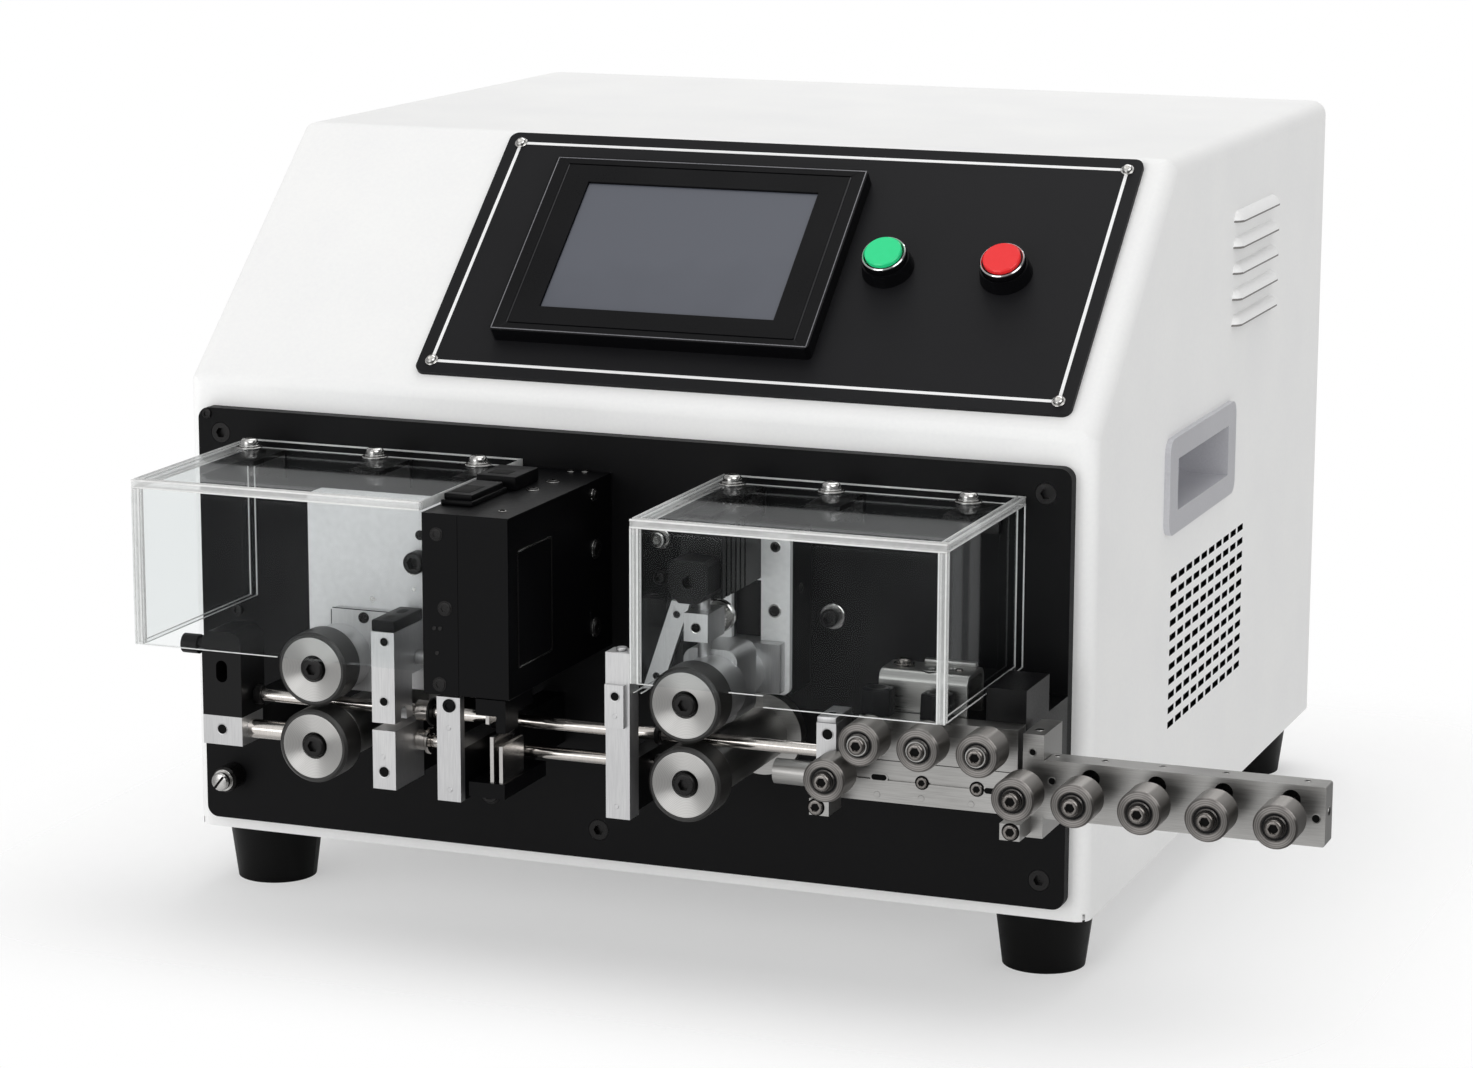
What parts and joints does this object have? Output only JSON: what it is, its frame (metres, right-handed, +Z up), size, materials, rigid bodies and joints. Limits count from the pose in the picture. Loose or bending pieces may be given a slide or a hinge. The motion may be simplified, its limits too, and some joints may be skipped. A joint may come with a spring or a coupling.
{
  "type": "wire cutting and stripping machine",
  "caption": "Benchtop machine that feeds, cuts and strips wire: white sloped case, touch panel, feed rollers, cutter head, clear guards and a roller straightener.",
  "frame": {"origin": "on the floor under the middle of the machine's box", "axes": "+Z up, -Y out of the front with the rollers, +X to the right along the wire"},
  "size_m": [0.5146, 0.4934, 0.32],
  "materials": {
    "white_steel": "white powder coat",
    "black_plate": "satin black powder coat",
    "black_anodised": "black anodised aluminium",
    "black_plastic": "moulded black plastic",
    "brushed_aluminium": "brushed aluminium",
    "turned_aluminium": "turned aluminium",
    "ground_steel": "ground steel",
    "dark_steel": "hardened steel",
    "black_screw": "black oxide steel",
    "rubber_foot": "moulded rubber",
    "roller_tyre": "polyurethane tyre",
    "clear_acrylic": "clear acrylic sheet",
    "screen_glass": "dark touch screen",
    "green_cap": "green button cap",
    "red_cap": "red button cap",
    "bright_ring": "bright plated ring",
    "board_green": "circuit board"
  },
  "bodies": {
    "machine": {"case_shell": "white_steel", "base_plate": "white_steel", "rear_panel": "white_steel", "rubber_feet": "rubber_foot", "front_plate": "black_plate", "plate_screws": "black_screw", "control_panel": "black_plate", "hmi_housing": "black_plastic", "hmi_screen": "screen_glass", "button_rings": "bright_ring", "side_handles": "brushed_aluminium", "power_inlet": "black_plastic", "power_supply": "brushed_aluminium", "control_board": "board_green", "stepper_motors": "black_screw", "spindle_housings": "turned_aluminium", "left_bracket": "brushed_aluminium", "right_bracket": "brushed_aluminium", "mounting_blocks": "black_anodised", "wire_guides": "brushed_aluminium", "guide_rods": "ground_steel", "outlet_bracket": "black_anodised", "cutter_side_plate": "black_anodised", "cutter_housing": "black_anodised", "straightener_base": "brushed_aluminium", "straightener_arm": "brushed_aluminium", "straightener_clamp": "ground_steel", "roller_studs": "dark_steel", "left_cover": "clear_acrylic", "right_cover": "clear_acrylic", "cover_clips": "black_screw"},
    "start_button": {"start_button": "green_cap"},
    "stop_button": {"stop_button": "red_cap"},
    "power_rocker": {"power_rocker": "red_cap"},
    "cutter_drive": {"cutter_spindle": "dark_steel"},
    "upper_cutter": {"upper_blade_holder": "black_anodised", "upper_blade": "ground_steel"},
    "lower_cutter": {"lower_blade_holder": "black_anodised", "lower_blade": "ground_steel"},
    "left_lower_feed": {"left_lower_roller": "turned_aluminium", "left_lower_tyre": "roller_tyre"},
    "left_press": {"left_carriage": "brushed_aluminium"},
    "left_upper_feed": {"left_upper_roller": "turned_aluminium", "left_upper_tyre": "roller_tyre"},
    "right_lower_feed": {"right_lower_roller": "turned_aluminium", "right_lower_tyre": "roller_tyre"},
    "right_press": {"right_carriage": "brushed_aluminium"},
    "right_upper_feed": {"right_upper_roller": "turned_aluminium", "right_upper_tyre": "roller_tyre"},
    "upper_straightener": {"straightener_slide": "brushed_aluminium"},
    "upper_straight_roller_1": {"upper_straight_roller_1": "dark_steel"},
    "upper_straight_roller_2": {"upper_straight_roller_2": "dark_steel"},
    "upper_straight_roller_3": {"upper_straight_roller_3": "dark_steel"},
    "lower_straight_roller_1": {"lower_straight_roller_1": "dark_steel"},
    "lower_straight_roller_2": {"lower_straight_roller_2": "dark_steel"},
    "arm_roller_1": {"arm_roller_1": "dark_steel"},
    "arm_roller_2": {"arm_roller_2": "dark_steel"},
    "arm_roller_3": {"arm_roller_3": "dark_steel"},
    "arm_roller_4": {"arm_roller_4": "dark_steel"}
  },
  "joints": [
    {"name": "start_press", "type": "slide", "parent": "machine", "child": "start_button", "axis": [0, 0.658, -0.753], "range_m": [0, 0.003], "stiffness_N_per_m": 300},
    {"name": "stop_press", "type": "slide", "parent": "machine", "child": "stop_button", "axis": [0, 0.658, -0.753], "range_m": [0, 0.003], "stiffness_N_per_m": 300},
    {"name": "power_switch", "type": "hinge", "parent": "machine", "child": "power_rocker", "pos_m": [-0.18375, 0.23825, 0.101], "axis": [1, 0, 0], "range_deg": [-9, 9]},
    {"name": "cutter_turn", "type": "hinge", "parent": "machine", "child": "cutter_drive", "pos_m": [-0.067, -0.19775, 0.166], "axis": [0, 1, 0], "range_deg": [-6, 46.38]},
    {"name": "upper_cut", "type": "slide", "parent": "machine", "child": "upper_cutter", "axis": [0, 0, -1], "range_m": [-0.0005, 0.004], "stiffness_N_per_m": 8, "springref_m": -0.0156},
    {"name": "lower_cut", "type": "slide", "parent": "machine", "child": "lower_cutter", "axis": [0, 0, 1], "range_m": [0, 0.003]},
    {"name": "left_press_lift", "type": "slide", "parent": "machine", "child": "left_press", "axis": [0, 0, 1], "range_m": [0, 0.004]},
    {"name": "right_press_lift", "type": "slide", "parent": "machine", "child": "right_press", "axis": [0, 0, 1], "range_m": [0, 0.004]},
    {"name": "left_lower_spin", "type": "hinge", "parent": "machine", "child": "left_lower_feed", "pos_m": [-0.14775, -0.22775, 0.09425], "axis": [0, 1, 0], "continuous": true},
    {"name": "left_upper_spin", "type": "hinge", "parent": "left_press", "child": "left_upper_feed", "pos_m": [-0.14775, -0.22775, 0.12575], "axis": [0, 1, 0], "continuous": true},
    {"name": "right_lower_spin", "type": "hinge", "parent": "machine", "child": "right_lower_feed", "pos_m": [0.01175, -0.22775, 0.09425], "axis": [0, 1, 0], "continuous": true},
    {"name": "right_upper_spin", "type": "hinge", "parent": "right_press", "child": "right_upper_feed", "pos_m": [0.01175, -0.22775, 0.12575], "axis": [0, 1, 0], "continuous": true},
    {"name": "straightener_lift", "type": "slide", "parent": "machine", "child": "upper_straightener", "axis": [0, 0, 1], "range_m": [0, 0.004]},
    {"name": "upper_straight_roller_1_spin", "type": "hinge", "parent": "upper_straightener", "child": "upper_straight_roller_1", "pos_m": [0.08275, -0.22775, 0.117], "axis": [0, 1, 0], "continuous": true},
    {"name": "upper_straight_roller_2_spin", "type": "hinge", "parent": "upper_straightener", "child": "upper_straight_roller_2", "pos_m": [0.10625, -0.22775, 0.117], "axis": [0, 1, 0], "continuous": true},
    {"name": "upper_straight_roller_3_spin", "type": "hinge", "parent": "upper_straightener", "child": "upper_straight_roller_3", "pos_m": [0.12975, -0.22775, 0.117], "axis": [0, 1, 0], "continuous": true},
    {"name": "lower_straight_roller_1_spin", "type": "hinge", "parent": "machine", "child": "lower_straight_roller_1", "pos_m": [0.06895, -0.22775, 0.1015], "axis": [0, 1, 0], "continuous": true},
    {"name": "lower_straight_roller_2_spin", "type": "hinge", "parent": "machine", "child": "lower_straight_roller_2", "pos_m": [0.1439, -0.22775, 0.1015], "axis": [0, 1, 0], "continuous": true},
    {"name": "arm_roller_1_spin", "type": "hinge", "parent": "machine", "child": "arm_roller_1", "pos_m": [0.16705, -0.22775, 0.1015], "axis": [0, 1, 0], "continuous": true},
    {"name": "arm_roller_2_spin", "type": "hinge", "parent": "machine", "child": "arm_roller_2", "pos_m": [0.19275, -0.22775, 0.1015], "axis": [0, 1, 0], "continuous": true},
    {"name": "arm_roller_3_spin", "type": "hinge", "parent": "machine", "child": "arm_roller_3", "pos_m": [0.21845, -0.22775, 0.1015], "axis": [0, 1, 0], "continuous": true},
    {"name": "arm_roller_4_spin", "type": "hinge", "parent": "machine", "child": "arm_roller_4", "pos_m": [0.24415, -0.22775, 0.1015], "axis": [0, 1, 0], "continuous": true}
  ],
  "couplings": [
    {"joint": "upper_cut", "follows": "lower_cut", "ratio": 1},
    {"joint": "cutter_turn", "follows": "lower_cut", "rad_per_m": 200},
    {"joint": "left_upper_spin", "follows": "left_lower_spin", "ratio": -1},
    {"joint": "right_upper_spin", "follows": "right_lower_spin", "ratio": -1}
  ]
}
